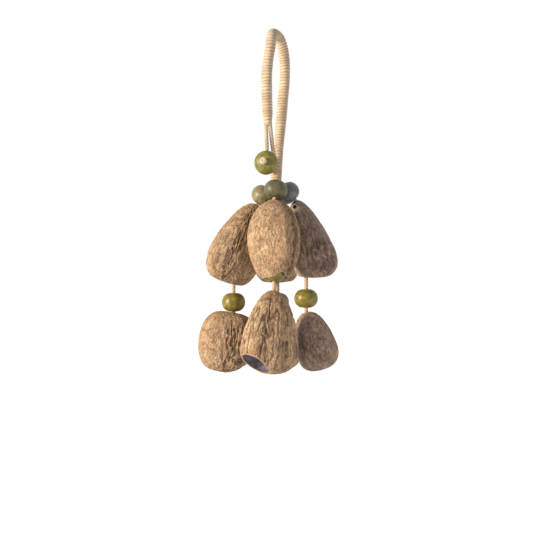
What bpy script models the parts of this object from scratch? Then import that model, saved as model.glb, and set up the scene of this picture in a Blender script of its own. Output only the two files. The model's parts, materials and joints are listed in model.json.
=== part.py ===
# Nutshell rattle: eight cut nutshells and nine painted wooden beads on cotton strings,
# hung from a bound cotton wrist loop. Metres, +Z up, the front faces -Y.
# The origin is the top of the loop's inner side, where the rattle hangs.

import math
from dataclasses import dataclass

import bmesh
import bpy
from mathutils import Matrix, Vector

MM = 0.001
DOWN = Vector((0.0, 0.0, -1.0))
SIDEWAYS = Vector((1.0, 0.2, 0.1))

# Clearances
FIT_GAP = 0.3 * MM
JOINT_GAP = 0.8 * MM
STRING_CUT = 0.3 * MM
RIM_GAP = 0.5 * MM

# Bound loop, a bundle of cotton bound round and round with thread
GRIP_RADIUS = 2.95 * MM
GRIP_FACETS = 3
GRIP_STEP = 4.0 * MM
GRIP_ROUTE = (
    (0.3, 1.5, -80.3),
    (0.9, 3.0, -71.0),
    (1.6, 4.8, -63.0),
    (2.6, 7.0, -53.4),
    (3.5, 8.8, -43.2),
    (4.4, 9.8, -32.9),
    (5.2, 10.3, -25.3),
    (5.5, 10.3, -16.0),
    (4.7, 9.9, -7.0),
    (2.2, 6.2, 0.8),
    (-1.0, 0.0, 2.95),
    (-2.1, -6.2, 0.8),
    (-3.0, -9.8, -6.0),
    (-4.1, -10.5, -12.5),
    (-5.0, -10.6, -20.2),
    (-5.0, -10.2, -32.9),
    (-4.6, -9.3, -43.7),
    (-4.3, -9.0, -46.8),
)

# Button eye, the bare end of the bundle, which slips over the toggle bead
EYE_RADIUS = 1.2 * MM
EYE_STEP = 3.0 * MM
EYE_ROUTE = (
    (-5.6, -9.0, -48.5),
    (-5.7, -8.5, -54.0),
    (-6.2, -6.6, -62.0),
    (-6.6, -3.4, -68.0),
    (-6.2, -2.5, -72.0),
    (-3.3, -2.3, -76.2),
    (-0.3, -2.6, -72.4),
    (-0.5, -3.4, -68.0),
    (-1.3, -5.4, -62.5),
    (-2.6, -7.9, -54.0),
    (-3.0, -9.0, -48.5),
)

# Cotton string and its knots
STRING_RADIUS = 1.0 * MM
STRING_FACETS = 2
STRING_STEP = 2.5 * MM
KNOT_RADIUS = 2.2 * MM
KNOT_STATIONS = (-1.0, -0.8, -0.35, 0.35, 0.8, 1.0)
STRAND_SPREAD = 1.65 * MM

# Turned wooden beads, all of one size
BEAD_RADIUS = 6.65 * MM
BEAD_HALF_HEIGHT = 5.4 * MM
BEAD_HOLE_RADIUS = STRING_RADIUS + FIT_GAP
BEAD_ROUNDNESS = 0.85
BEAD_SEGMENTS = 12
BEAD_RINGS = 8

# Toggle bead that closes the loop, its hole facing forwards
TOGGLE_CENTRE = (-5.4, -10.7, -71.7)
TOGGLE_FACING = (-0.22, -0.97, 0.10)
TIE_TURN = (-3.3, -1.9, -72.0)

# Nutshell walls, how wide the ridge is in degrees, and mesh density
WALL = 1.8 * MM
RIDGE_SPREAD = 16.0
CROWN_HOLE_RADIUS = STRING_RADIUS + FIT_GAP
SPARE_HOLE_RADIUS = 1.0 * MM
OUTER_SEGMENTS = 18
INNER_SEGMENTS = 14
OUTER_RINGS = 12
INNER_RINGS = 11
CUTTER_REACH = 40.0 * MM
DRILL_SIDES = 12
DRILL_LENGTH = 4.0 * WALL
SEAT_BANDS = 4
SEAT_SAMPLES = 4
RIM_HALVINGS = 30
CREASE_ANGLE = 50.0


@dataclass
class Nutshell:
    """One nutshell, drilled at its crown and cut open at its other end, in millimetres and degrees."""

    length: float
    half_width: float
    half_depth: float
    tilt: float
    heading: float
    turn: float
    mouth_depth: float
    mouth_facing: tuple
    taper: float = 0.2
    fullness: float = 0.75
    lobes: float = 0.03
    ridge: float = 0.07
    ridge_heading: float = 60.0
    spare_hole: tuple = None


@dataclass
class Drop:
    """One string of the rattle: a top bead, a nutshell, a lower bead and a second nutshell.
    Places and distances are in millimetres, directions in degrees."""

    name: str
    outward: float
    top_bead: tuple
    bead_facing: tuple
    upper: Nutshell
    lower: Nutshell
    bead_below_mouth: float = None
    bead_above_mouth: float = None
    shell_below_bead: float = 0.6


DROPS = (
    Drop(
        name="front",
        outward=-90.0,
        top_bead=(0.0, -10.4, -87.5),
        bead_facing=(-0.12, -0.52, -0.85),
        upper=Nutshell(
            length=50.0, half_width=15.4, half_depth=12.8, tilt=9.0, heading=-92.0, turn=0.0,
            mouth_depth=45.0, mouth_facing=(0.05, -0.10, -1.0), taper=0.06, fullness=0.78,
            ridge_heading=-45.0,
        ),
        lower=Nutshell(
            length=47.2, half_width=15.4, half_depth=13.0, tilt=5.0, heading=-160.0, turn=0.0,
            mouth_depth=46.0, mouth_facing=(-0.56, -0.40, -0.73), taper=0.36, fullness=0.85,
            ridge_heading=-110.0,
        ),
        bead_above_mouth=3.4,
        shell_below_bead=5.0,
    ),
    Drop(
        name="left",
        outward=180.0,
        top_bead=(-7.2, 1.5, -90.2),
        bead_facing=(-0.63, 0.13, -0.76),
        upper=Nutshell(
            length=49.5, half_width=14.4, half_depth=12.0, tilt=23.0, heading=176.0, turn=0.0,
            mouth_depth=46.4, mouth_facing=(-0.37, 0.03, -0.93), taper=0.22, fullness=0.75,
            ridge_heading=-100.0,
        ),
        lower=Nutshell(
            length=35.0, half_width=16.3, half_depth=13.5, tilt=11.0, heading=180.0, turn=0.0,
            mouth_depth=32.0, mouth_facing=(0.30, 0.55, -0.78), taper=0.0, fullness=0.56,
            ridge_heading=-60.0,
        ),
        bead_below_mouth=5.2,
        shell_below_bead=0.6,
    ),
    Drop(
        name="right",
        outward=0.0,
        top_bead=(7.2, 2.5, -88.4),
        bead_facing=(0.70, 0.15, -0.70),
        upper=Nutshell(
            length=48.0, half_width=12.8, half_depth=11.6, tilt=20.0, heading=4.0, turn=0.0,
            mouth_depth=44.6, mouth_facing=(0.03, 0.05, -1.0), taper=0.34, fullness=0.85,
            ridge_heading=-60.0, spare_hole=(8.9, -96.2),
        ),
        lower=Nutshell(
            length=34.6, half_width=11.8, half_depth=11.2, tilt=15.0, heading=0.0, turn=0.0,
            mouth_depth=32.0, mouth_facing=(0.15, 0.55, -0.80), taper=0.16, fullness=0.72,
            ridge_heading=-120.0,
        ),
        bead_below_mouth=7.0,
        shell_below_bead=2.6,
    ),
    Drop(
        name="back",
        outward=90.0,
        top_bead=(0.3, 14.2, -88.4),
        bead_facing=(0.10, 0.50, -0.86),
        upper=Nutshell(
            length=49.0, half_width=14.2, half_depth=12.4, tilt=12.0, heading=88.0, turn=0.0,
            mouth_depth=45.6, mouth_facing=(0.03, 0.20, -0.98), taper=0.18, fullness=0.78,
            ridge_heading=80.0,
        ),
        lower=Nutshell(
            length=34.6, half_width=13.4, half_depth=12.4, tilt=8.0, heading=90.0, turn=0.0,
            mouth_depth=32.4, mouth_facing=(0.30, 0.40, -0.86), taper=0.22, fullness=0.78,
            ridge_heading=120.0,
        ),
        bead_below_mouth=6.0,
        shell_below_bead=1.6,
    ),
)

COLOURS = {
    "cotton": ((0.74, 0.62, 0.45, 1.0), 0.9),
    "bead_paint": ((0.16, 0.17, 0.035, 1.0), 0.35),
    "nutshell": ((0.36, 0.23, 0.12, 1.0), 0.8),
}


def clear_scene():
    for old in list(bpy.data.objects):
        bpy.data.objects.remove(old, do_unlink=True)


def make_material(name):
    colour, roughness = COLOURS[name]
    material = bpy.data.materials.new(name)
    material.use_nodes = True
    shader = material.node_tree.nodes["Principled BSDF"]
    shader.inputs["Base Color"].default_value = colour
    shader.inputs["Roughness"].default_value = roughness
    shader.inputs["Metallic"].default_value = 0.0
    return material


def metres(point):
    return Vector(point) * MM


def heading_vector(degrees):
    angle = math.radians(degrees)
    return Vector((math.cos(angle), math.sin(angle), 0.0))


def frame_towards(origin, down, side):
    """A frame at origin whose -Z runs along down and whose +X is as near to side as it can be."""
    z_axis = -down.normalized()
    x_axis = (side - z_axis * side.dot(z_axis)).normalized()
    y_axis = z_axis.cross(x_axis)
    turned = Matrix((x_axis, y_axis, z_axis)).transposed()
    return Matrix.Translation(origin) @ turned.to_4x4()


class Pivot:
    """An empty that stands on a hinge axis, with its place in the world."""

    def __init__(self, name, point, parent=None):
        self.point = point.copy()
        self.empty = bpy.data.objects.new(name, None)
        self.empty.empty_display_size = KNOT_RADIUS
        bpy.context.collection.objects.link(self.empty)
        set_in_world(self.empty, Matrix.Translation(point), parent)


def set_in_world(item, world, parent=None):
    """Give an object its place in the world, under a pivot if it swings on one."""
    if parent:
        item.parent = parent.empty
        world = Matrix.Translation(-parent.point) @ world
    item.matrix_basis = world


def smooth_route(points, step):
    """Points along one smooth curve through the given points, about a step apart."""
    tangents = []
    for index, point in enumerate(points):
        before = points[max(index - 1, 0)]
        after = points[min(index + 1, len(points) - 1)]
        back = (point - before).length
        ahead = (after - point).length
        if back == 0.0:
            tangents.append((after - point).normalized())
        elif ahead == 0.0:
            tangents.append((point - before).normalized())
        else:
            blend = (after - point) * (back / ahead) + (point - before) * (ahead / back)
            tangents.append(blend / (back + ahead))
    route = [points[0]]
    for index in range(len(points) - 1):
        start, end = points[index], points[index + 1]
        chord = (end - start).length
        pieces = max(1, round(chord / step))
        for piece in range(1, pieces + 1):
            s = piece / pieces
            route.append(
                start * (2 * s**3 - 3 * s**2 + 1)
                + tangents[index] * chord * (s**3 - 2 * s**2 + s)
                + end * (3 * s**2 - 2 * s**3)
                + tangents[index + 1] * chord * (s**3 - s**2)
            )
    return route


def make_string(name, route, radii, material, parent=None, facets=STRING_FACETS):
    """A cotton string along a route; a knot is a place where its radius swells."""
    curve = bpy.data.curves.new(name, "CURVE")
    curve.dimensions = "3D"
    curve.bevel_depth = 1.0
    curve.bevel_resolution = facets
    curve.use_fill_caps = True
    spline = curve.splines.new("POLY")
    spline.points.add(len(route) - 1)
    offset = parent.point if parent else Vector((0.0, 0.0, 0.0))
    for stop, point, radius in zip(spline.points, route, radii):
        stop.co = (*(point - offset), 1.0)
        stop.radius = radius
    curve.materials.append(material)
    item = bpy.data.objects.new(name, curve)
    bpy.context.collection.objects.link(item)
    if parent:
        item.parent = parent.empty
    return item


def plain_string(name, points, radius, step, material, facets=STRING_FACETS):
    route = smooth_route(points, step)
    return make_string(name, route, [radius] * len(route), material, facets=facets)


def knotted_string(name, before, knot_centre, facing, after, material, parent=None):
    """A string with one knot: its points before the knot, the knot's swelling, and its points after."""
    route = list(before)
    radii = [STRING_RADIUS] * len(route)
    for share in KNOT_STATIONS:
        route.append(knot_centre + facing * (share * KNOT_RADIUS))
        swelling = KNOT_RADIUS * math.sqrt(1.0 - share * share)
        radii.append(max(STRING_RADIUS, swelling))
    route.extend(after)
    radii.extend([STRING_RADIUS] * len(after))
    return make_string(name, route, radii, material, parent)


def make_bead(name, centre, facing, material, parent=None):
    """A turned bead: a rounded profile spun about its hole."""
    profile = [(BEAD_HOLE_RADIUS, BEAD_HALF_HEIGHT), (BEAD_HOLE_RADIUS, -BEAD_HALF_HEIGHT)]
    for ring in range(1, BEAD_RINGS):
        angle = math.pi * ring / BEAD_RINGS
        swell = math.sin(angle) ** BEAD_ROUNDNESS
        radius = BEAD_HOLE_RADIUS + (BEAD_RADIUS - BEAD_HOLE_RADIUS) * swell
        profile.append((radius, -BEAD_HALF_HEIGHT * math.cos(angle)))
    model = bmesh.new()
    rings = []
    for segment in range(BEAD_SEGMENTS):
        angle = 2.0 * math.pi * segment / BEAD_SEGMENTS
        side = Vector((math.cos(angle), math.sin(angle), 0.0))
        rings.append([model.verts.new(side * radius - DOWN * height) for radius, height in profile])
    for segment in range(BEAD_SEGMENTS):
        here, there = rings[segment], rings[(segment + 1) % BEAD_SEGMENTS]
        for corner in range(len(profile)):
            following = (corner + 1) % len(profile)
            model.faces.new((here[corner], here[following], there[following], there[corner]))
    bmesh.ops.recalc_face_normals(model, faces=model.faces)
    item = finish_mesh(name, model, material)
    set_in_world(item, frame_towards(centre, facing, SIDEWAYS), parent)
    return item


def finish_mesh(name, model, material):
    mesh = bpy.data.meshes.new(name)
    model.to_mesh(mesh)
    model.free()
    mesh.shade_smooth()
    mesh.set_sharp_from_angle(angle=math.radians(CREASE_ANGLE))
    mesh.materials.append(material)
    item = bpy.data.objects.new(name, mesh)
    bpy.context.collection.objects.link(item)
    return item


def shell_radius(shell, depth, length):
    """How far the outline stands out at a depth below the crown, as a share of its widest."""
    lengthwise = min(1.0, max(-1.0, 1.0 - 2.0 * depth / length))
    around = math.sqrt(1.0 - lengthwise * lengthwise)
    return around**shell.fullness / (1.0 + shell.taper * lengthwise)


def section_swell(shell, angle, around):
    """The rounded three-sided section of a nut, with one sharper ridge."""
    ridge = math.radians(shell.ridge_heading)
    away = (angle - ridge + math.pi) % (2.0 * math.pi) - math.pi
    lobes = shell.lobes * math.cos(3.0 * away)
    crest = shell.ridge * math.exp(-((away / math.radians(RIDGE_SPREAD)) ** 2))
    return 1.0 + (lobes + crest) * around


def shell_point(shell, depth, angle, inset):
    """A point of the nut's surface, or of the surface that lies inset inside it."""
    length = shell.length * MM - 2.0 * inset
    share = shell_radius(shell, depth - inset, length)
    swell = section_swell(shell, angle, share)
    across = (shell.half_width * MM - inset) * share * swell
    deep = (shell.half_depth * MM - inset) * share * swell
    return Vector((across * math.cos(angle), deep * math.sin(angle), -depth))


def ring_depths(shell, inset, rings):
    """How deep below the crown each ring of a nut's surface lies, its two ends included."""
    length = shell.length * MM - 2.0 * inset
    return [inset + length * (1.0 - math.cos(math.pi * ring / rings)) / 2.0 for ring in range(rings + 1)]


def nut_bands(shell, inset, rings, segments):
    """The rings of points that make the surface inset inside a nut, from crown to foot."""
    start = math.radians(shell.ridge_heading)
    angles = [start + 2.0 * math.pi * k / segments for k in range(segments)]
    depths = ring_depths(shell, inset, rings)[1:-1]
    return [[shell_point(shell, depth, angle, inset) for angle in angles] for depth in depths]


def add_nut_surface(model, shell, inset, rings, segments):
    """A closed egg-like surface, added to a mesh."""
    crown = model.verts.new((0.0, 0.0, -inset))
    foot = model.verts.new((0.0, 0.0, inset - shell.length * MM))
    bands = [[model.verts.new(point) for point in band] for band in nut_bands(shell, inset, rings, segments)]
    faces = []
    for k in range(segments):
        n = (k + 1) % segments
        faces.append(model.faces.new((crown, bands[0][k], bands[0][n])))
        faces.append(model.faces.new((foot, bands[-1][n], bands[-1][k])))
        for upper, lower in zip(bands, bands[1:]):
            faces.append(model.faces.new((upper[k], lower[k], lower[n], upper[n])))
    return faces


def knot_seat(shell, threading):
    """How far below the crown a knot on the string first clears the nut's inner wall."""
    to_local = shell_frame(shell, Vector((0.0, 0.0, 0.0))).inverted().to_3x3()
    along = to_local @ threading
    wall = [Vector((0.0, 0.0, -WALL))] * INNER_SEGMENTS
    samples = []
    for band in nut_bands(shell, WALL, INNER_RINGS, INNER_SEGMENTS)[:SEAT_BANDS]:
        for start, end in zip(wall, band):
            samples.extend(start.lerp(end, (k + 1) / SEAT_SAMPLES) for k in range(SEAT_SAMPLES))
        wall = band
    around_hole = [p for p in samples if p.cross(along).length > CROWN_HOLE_RADIUS]
    depth = WALL + KNOT_RADIUS
    while min((along * depth - p).length for p in around_hole) < KNOT_RADIUS + FIT_GAP:
        depth += FIT_GAP / 2.0
    return depth


def add_drill(model, start, direction, length, radius):
    """A round cutter that starts at a point and runs along a direction."""
    middle = start + direction * (length / 2.0)
    bmesh.ops.create_cone(
        model, cap_ends=True, segments=DRILL_SIDES, radius1=radius, radius2=radius,
        depth=length, matrix=frame_towards(middle, direction, SIDEWAYS),
    )


def make_nutshell(name, shell, crown, threading, material, parent):
    """A nut's hollow shell, drilled at the crown along its string and cut open at the mouth."""
    down = shell_axis(shell)
    model = bmesh.new()
    add_nut_surface(model, shell, 0.0, OUTER_RINGS, OUTER_SEGMENTS)
    hollow = add_nut_surface(model, shell, WALL, INNER_RINGS, INNER_SEGMENTS)
    bmesh.ops.reverse_faces(model, faces=hollow)
    item = finish_mesh(name, model, material)
    set_in_world(item, shell_frame(shell, crown), parent)

    cutter = bmesh.new()
    facing = Vector(shell.mouth_facing).normalized()
    mouth = crown + down * (shell.mouth_depth * MM)
    centre = mouth + facing * (CUTTER_REACH / 2.0)
    block = frame_towards(centre, facing, SIDEWAYS) @ Matrix.Scale(CUTTER_REACH, 4)
    bmesh.ops.create_cube(cutter, size=1.0, matrix=block)
    outside = crown - threading * (DRILL_LENGTH / 2.0)
    add_drill(cutter, outside, threading, DRILL_LENGTH, CROWN_HOLE_RADIUS)
    if shell.spare_hole:
        across, height = shell.spare_hole
        front = Vector((across * MM, crown.y - shell.half_depth * MM, height * MM))
        reach = shell.half_depth * MM - WALL / 2.0
        add_drill(cutter, front, Vector((0.0, 1.0, 0.0)), reach, SPARE_HOLE_RADIUS)
    cutter_mesh = bpy.data.meshes.new(name + "_cutter")
    cutter.to_mesh(cutter_mesh)
    cutter.free()
    cutter_item = bpy.data.objects.new(name + "_cutter", cutter_mesh)
    bpy.context.collection.objects.link(cutter_item)
    cutter_item.hide_render = True
    cutter_item.display_type = "WIRE"
    cut = item.modifiers.new("mouth and holes", "BOOLEAN")
    cut.operation = "DIFFERENCE"
    cut.solver = "EXACT"
    cut.object = cutter_item
    return item


def shell_axis(shell):
    tilt = math.radians(shell.tilt)
    return DOWN * math.cos(tilt) + heading_vector(shell.heading) * math.sin(tilt)


def shell_frame(shell, crown):
    return frame_towards(crown, shell_axis(shell), heading_vector(shell.turn))


def wall_radius(shell, depth, angle):
    """How far the faceted inner wall lies from the axis at a depth, straight between its rings."""
    depths = ring_depths(shell, WALL, INNER_RINGS)
    for above, below in zip(depths, depths[1:]):
        if above <= depth <= below:
            share = (depth - above) / (below - above)
            high, low = (shell_point(shell, d, angle, WALL).to_2d().length for d in (above, below))
            return high + (low - high) * share
    return 0.0


def mouth_rim(shell, crown, towards):
    """The point of the mouth's inner rim that lies in a direction from the nut's axis."""
    down = shell_axis(shell)
    to_local = shell_frame(shell, crown).inverted()
    facing = Vector(shell.mouth_facing).normalized()
    middle = crown + down * (shell.mouth_depth * MM)
    along = (towards - facing * towards.dot(facing)).normalized()
    near, far = 0.0, shell.half_width * MM
    for _ in range(RIM_HALVINGS):
        reach = (near + far) / 2.0
        local = to_local @ (middle + along * reach)
        angle = math.atan2(local.y * shell.half_width, local.x * shell.half_depth)
        inside = local.to_2d().length < wall_radius(shell, -local.z, angle)
        near, far = (reach, far) if inside else (near, reach)
    return middle, along, near


def make_loop(cotton, olive):
    """The bound wrist loop, its button eye, and the toggle bead on its tie."""
    grip = [metres(point) for point in GRIP_ROUTE]
    plain_string("bound_loop", grip, GRIP_RADIUS, GRIP_STEP, cotton, GRIP_FACETS)
    eye = [metres(point) for point in EYE_ROUTE]
    for end in (0, -1):
        eye[end].z = grip[-1].z - 2.0 * FIT_GAP
    plain_string("button_eye", eye, EYE_RADIUS, EYE_STEP, cotton)
    centre = metres(TOGGLE_CENTRE)
    facing = Vector(TOGGLE_FACING).normalized()
    make_bead("toggle_bead", centre, facing, olive)
    back = centre - facing * BEAD_HALF_HEIGHT
    front = centre + facing * BEAD_HALF_HEIGHT
    turn = metres(TIE_TURN)
    leg = nearest_on_route(turn, smooth_route(grip, GRIP_STEP))
    seat = leg + (turn - leg).normalized() * (GRIP_RADIUS + FIT_GAP)
    knot = front + facing * KNOT_RADIUS
    before = smooth_route([seat, turn, back - facing * STRING_RADIUS, back], STRING_STEP)
    before.append(front - facing * STRING_RADIUS)
    knotted_string("toggle_tie", before, knot, facing, [], cotton)
    return grip


def nearest_on_route(point, route):
    """The nearest place to a point on the straight pieces of a route."""
    best = route[0]
    for start, end in zip(route, route[1:]):
        run = end - start
        share = min(1.0, max(0.0, (point - start).dot(run) / run.length_squared))
        place = start + run * share
        if (point - place).length < (point - best).length:
            best = place
    return best


def make_drop(drop, grip_foot, cotton, olive, nut):
    """One string of the rattle, from the loop's foot down to its lower nutshell."""
    name = drop.name
    outward = heading_vector(drop.outward)
    centre = metres(drop.top_bead)
    facing = Vector(drop.bead_facing).normalized()
    make_bead(name + "_top_bead", centre, facing, olive)
    bead_top = centre - facing * BEAD_HALF_HEIGHT
    bead_foot = centre + facing * BEAD_HALF_HEIGHT
    start = grip_foot + outward * STRAND_SPREAD + DOWN * (FIT_GAP + STRING_RADIUS / 2.0)
    leading = [start, start + DOWN * STRING_RADIUS, bead_top - facing * STRING_RADIUS, bead_top, bead_foot]
    plain_string(name + "_top_string", leading, STRING_RADIUS, STRING_STEP, cotton)

    hinge = bead_foot + facing * (JOINT_GAP / 2.0)
    crown = bead_foot + facing * JOINT_GAP
    upper_pivot = Pivot(name + "_swing", hinge)
    shell = drop.upper
    down = shell_axis(shell)
    make_nutshell(name + "_upper_shell", shell, crown, down, nut, upper_pivot)
    knot = crown + down * knot_seat(shell, down)
    before = [hinge + down * STRING_CUT]
    middle, along, reach = mouth_rim(shell, crown, -outward)
    if drop.bead_above_mouth is None:
        leaving = middle + along * (reach - STRING_RADIUS - RIM_GAP)
        lower_hinge = leaving + DOWN * STRING_RADIUS
        after = [leaving, lower_hinge - DOWN * STRING_CUT]
        bead_centre = lower_hinge + DOWN * (drop.bead_below_mouth * MM + BEAD_HALF_HEIGHT)
        bead_axis = DOWN
        bead_owner = None
    else:
        bead_centre = middle - down * (drop.bead_above_mouth * MM)
        bead_axis = down
        lower_hinge = bead_centre + down * (BEAD_HALF_HEIGHT + STRING_CUT)
        after = [lower_hinge - down * STRING_CUT]
        bead_owner = upper_pivot
    knotted_string(name + "_shell_string", before, knot, down, after, cotton, upper_pivot)

    lower_pivot = Pivot(name + "_lower_swing", lower_hinge, upper_pivot)
    make_bead(name + "_lower_bead", bead_centre, bead_axis, olive, bead_owner or lower_pivot)
    bead_bottom = bead_centre + bead_axis * BEAD_HALF_HEIGHT
    lower_crown = bead_bottom + DOWN * (drop.shell_below_bead * MM)
    make_nutshell(name + "_lower_shell", drop.lower, lower_crown, DOWN, nut, lower_pivot)
    low_knot = lower_crown + DOWN * knot_seat(drop.lower, DOWN)
    above = [lower_hinge + DOWN * STRING_CUT]
    knotted_string(name + "_lower_string", above, low_knot, DOWN, [], cotton, lower_pivot)


def main():
    clear_scene()
    cotton = make_material("cotton")
    olive = make_material("bead_paint")
    nut = make_material("nutshell")
    grip = make_loop(cotton, olive)
    for drop in DROPS:
        make_drop(drop, grip[0], cotton, olive, nut)


main()
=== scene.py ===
# %% [markdown]
# # A nutshell rattle
# The rattle is eight half-open nutshells and nine painted beads on cotton strings, hung from a
# wrist loop that is bound round with cotton. The loaded frame holds the measured solids and the
# bodies that swing. Each step below makes one kind of piece again in fine detail, at the place
# that its solid has, and lets it ride on the same body.

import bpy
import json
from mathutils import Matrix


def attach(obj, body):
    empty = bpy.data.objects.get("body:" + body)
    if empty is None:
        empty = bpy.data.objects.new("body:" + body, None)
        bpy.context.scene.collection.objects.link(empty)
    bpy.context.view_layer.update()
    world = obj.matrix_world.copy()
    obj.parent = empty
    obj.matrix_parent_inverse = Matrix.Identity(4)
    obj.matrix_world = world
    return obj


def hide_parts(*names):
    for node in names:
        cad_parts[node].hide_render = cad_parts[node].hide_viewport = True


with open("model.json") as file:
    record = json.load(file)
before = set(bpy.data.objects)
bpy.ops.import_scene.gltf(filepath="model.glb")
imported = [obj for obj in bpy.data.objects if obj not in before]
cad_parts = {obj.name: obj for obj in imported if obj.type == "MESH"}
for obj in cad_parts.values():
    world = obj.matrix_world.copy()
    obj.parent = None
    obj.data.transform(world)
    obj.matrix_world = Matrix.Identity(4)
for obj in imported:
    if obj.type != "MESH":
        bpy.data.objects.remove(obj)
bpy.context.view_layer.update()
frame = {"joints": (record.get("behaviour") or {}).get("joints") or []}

# %% Tools and units
import json
import math

import bpy
import numpy as np
from mathutils import Matrix, Vector, noise

MM = 0.001
DOWN = Vector((0.0, 0.0, -1.0))
HINGES = {joint["name"]: Vector(joint["pos_m"]) for joint in frame["joints"]}
print("hinges:", len(HINGES))

# %% [markdown]
# ## Camera
# A picture from close by makes near pieces look large. This one was taken from about a metre, level
# with the middle of the rattle, so a long lens at that distance gives the same outlines.

# %% Camera
CAMERA_DISTANCE = 1.0
VIEW_WIDTH = 0.3024
VIEW_CENTRE = Vector((-0.0052, -0.012, -0.1307))
SENSOR = 36.0

lens = bpy.data.cameras.new("camera")
lens.sensor_width = SENSOR
lens.lens = SENSOR * CAMERA_DISTANCE / VIEW_WIDTH
camera = bpy.data.objects.new("camera", lens)
camera.location = VIEW_CENTRE + Vector((0.0, -CAMERA_DISTANCE, 0.0))
camera.rotation_euler = (math.radians(90.0), 0.0, 0.0)
bpy.context.collection.objects.link(camera)
bpy.context.scene.camera = camera
bpy.context.scene.view_settings.view_transform = "Standard"
print("lens:", round(lens.lens), "mm")

# %% [markdown]
# ## Colours and nodes
# Colours are picked as sRGB hex values, as a paint chart gives them, while shader sockets take
# linear light. One function turns one into the other. A second one adds a node with its settings
# and its links, so that each material below reads as a short recipe. Inputs go by name, or by
# number where a node has several of one name: 1 and 2 are the range that a Map Range node reads,
# and 3 and 4 the range that it gives.

# %% Colour and node helpers
def linear(hex_colour):
    """An sRGB hex colour as the linear numbers that a socket takes."""
    shares = [int(hex_colour[start:start + 2], 16) / 255.0 for start in (1, 3, 5)]
    return tuple(s / 12.92 if s <= 0.04045 else ((s + 0.055) / 1.055) ** 2.4 for s in shares) + (1.0,)


def feed(tree, node, inputs):
    """Fills a node's inputs, each with a number, a colour, or the socket that feeds it."""
    for socket, value in inputs.items():
        if isinstance(value, bpy.types.NodeSocket):
            tree.links.new(value, node.inputs[socket])
        else:
            node.inputs[socket].default_value = value


def add_node(tree, kind, inputs=None, **settings):
    """A new node with its settings and its inputs."""
    made = tree.nodes.new(kind)
    for setting, value in settings.items():
        setattr(made, setting, value)
    feed(tree, made, inputs or {})
    return made


def new_material(name):
    """A material, its node tree and its Principled shader."""
    material = bpy.data.materials.new(name)
    material.use_nodes = True
    return material, material.node_tree, material.node_tree.nodes["Principled BSDF"]


def place_in(tree):
    """The object's own coordinates, in metres."""
    return add_node(tree, "ShaderNodeTexCoord").outputs["Object"]


def mark_in(tree, mark, output="Fac"):
    """A mark that the mesh keeps for each of its points."""
    return add_node(tree, "ShaderNodeAttribute", attribute_name=mark).outputs[output]


def blend_colours(tree, share, first, second):
    """The first colour where share is 0 and the second where it is 1."""
    mix = add_node(tree, "ShaderNodeMix", {0: share, 6: first, 7: second}, data_type="RGBA")
    return mix.outputs[2]


print("white is", linear("#FFFFFF")[:3])

# %% [markdown]
# ## A skin over rings
# Bound cord, string, beads and shells all have one thing in common: they are rings of points, one
# after another. A tube's rings run along a path. A bead or a drilled shell has rings that run down
# the outside and back up the inside, so the last ring joins the first. One function skins both,
# and marks each point, so that a material can colour a groove by how deep it is.

# %% Skin a piece over rings of points
NO_CORD_RUNS_ALONG = (0.31, 0.87, 0.39)


def skin(name, rings, materials, bands=None, marks=None, looped=False, crease=60.0):
    """A closed piece over rings of points, with a material for each band and a mark for each point."""
    count, around = rings.shape[:2]
    grid = np.arange(count * around).reshape(count, around)
    upper = grid if looped else grid[:-1]
    lower = np.roll(grid, -1, axis=0) if looped else grid[1:]
    quads = np.stack((upper, lower, np.roll(lower, -1, axis=1), np.roll(upper, -1, axis=1)), axis=-1)
    points = rings.reshape(-1, 3)
    # Faces look outwards when the volume that they enclose comes out positive.
    corners = points[quads.reshape(-1, 4)]
    volume = np.einsum("ij,ij->i", corners[:, 0], np.cross(corners[:, 1], corners[:, 2]))
    volume += np.einsum("ij,ij->i", corners[:, 0], np.cross(corners[:, 2], corners[:, 3]))
    faces = quads.reshape(-1, 4).tolist()
    if not looped:
        faces.append(grid[0][::-1].tolist())
        faces.append(grid[-1].tolist())
    if volume.sum() < 0.0:
        faces = [face[::-1] for face in faces]
    mesh = bpy.data.meshes.new(name)
    mesh.from_pydata(points.tolist(), [], faces)
    for material in materials:
        mesh.materials.append(material)
    if bands is not None:
        mesh.polygons.foreach_set("material_index", np.repeat(bands, around).astype(np.int32))
    for mark, values in (marks or {}).items():
        is_place = values.size == 3 * len(points)
        layer = mesh.attributes.new(mark, "FLOAT_VECTOR" if is_place else "FLOAT", "POINT")
        layer.data.foreach_set("vector" if is_place else "value", values.reshape(-1).astype(np.float32))
    mesh.shade_smooth()
    mesh.set_sharp_from_angle(angle=math.radians(crease))
    piece = bpy.data.objects.new(name, mesh)
    bpy.context.collection.objects.link(piece)
    return piece


def wheels_of(angle, sides, others):
    """For each pair of directions at right angles, the directions at every angle between them."""
    return np.cos(angle)[None, :, None] * sides[:, None] + np.sin(angle)[None, :, None] * others[:, None]


def tube(name, route, shape, around, materials):
    """A tube along a fine route; shape gives its radius and groove mark at a distance and an angle."""
    points = np.array([tuple(point) for point in route])
    distance = np.concatenate(([0.0], np.cumsum(np.linalg.norm(np.diff(points, axis=0), axis=1))))
    along = np.gradient(points, distance, axis=0)
    along /= np.linalg.norm(along, axis=1)[:, None]
    side = np.cross(along[0], NO_CORD_RUNS_ALONG)
    sides = []
    for direction in along:
        side = side - direction * side.dot(direction)
        side = side / np.linalg.norm(side)
        sides.append(side)
    sides = np.array(sides)
    across = np.cross(along, sides)
    angle = np.linspace(0.0, 2.0 * math.pi, around, endpoint=False)
    radius, groove = shape(distance[:, None], angle[None, :])
    rings = points[:, None] + radius[..., None] * wheels_of(angle, sides, across)
    return skin(name, rings, materials, marks={"groove": groove})


print("skin and tube are ready")

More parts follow.
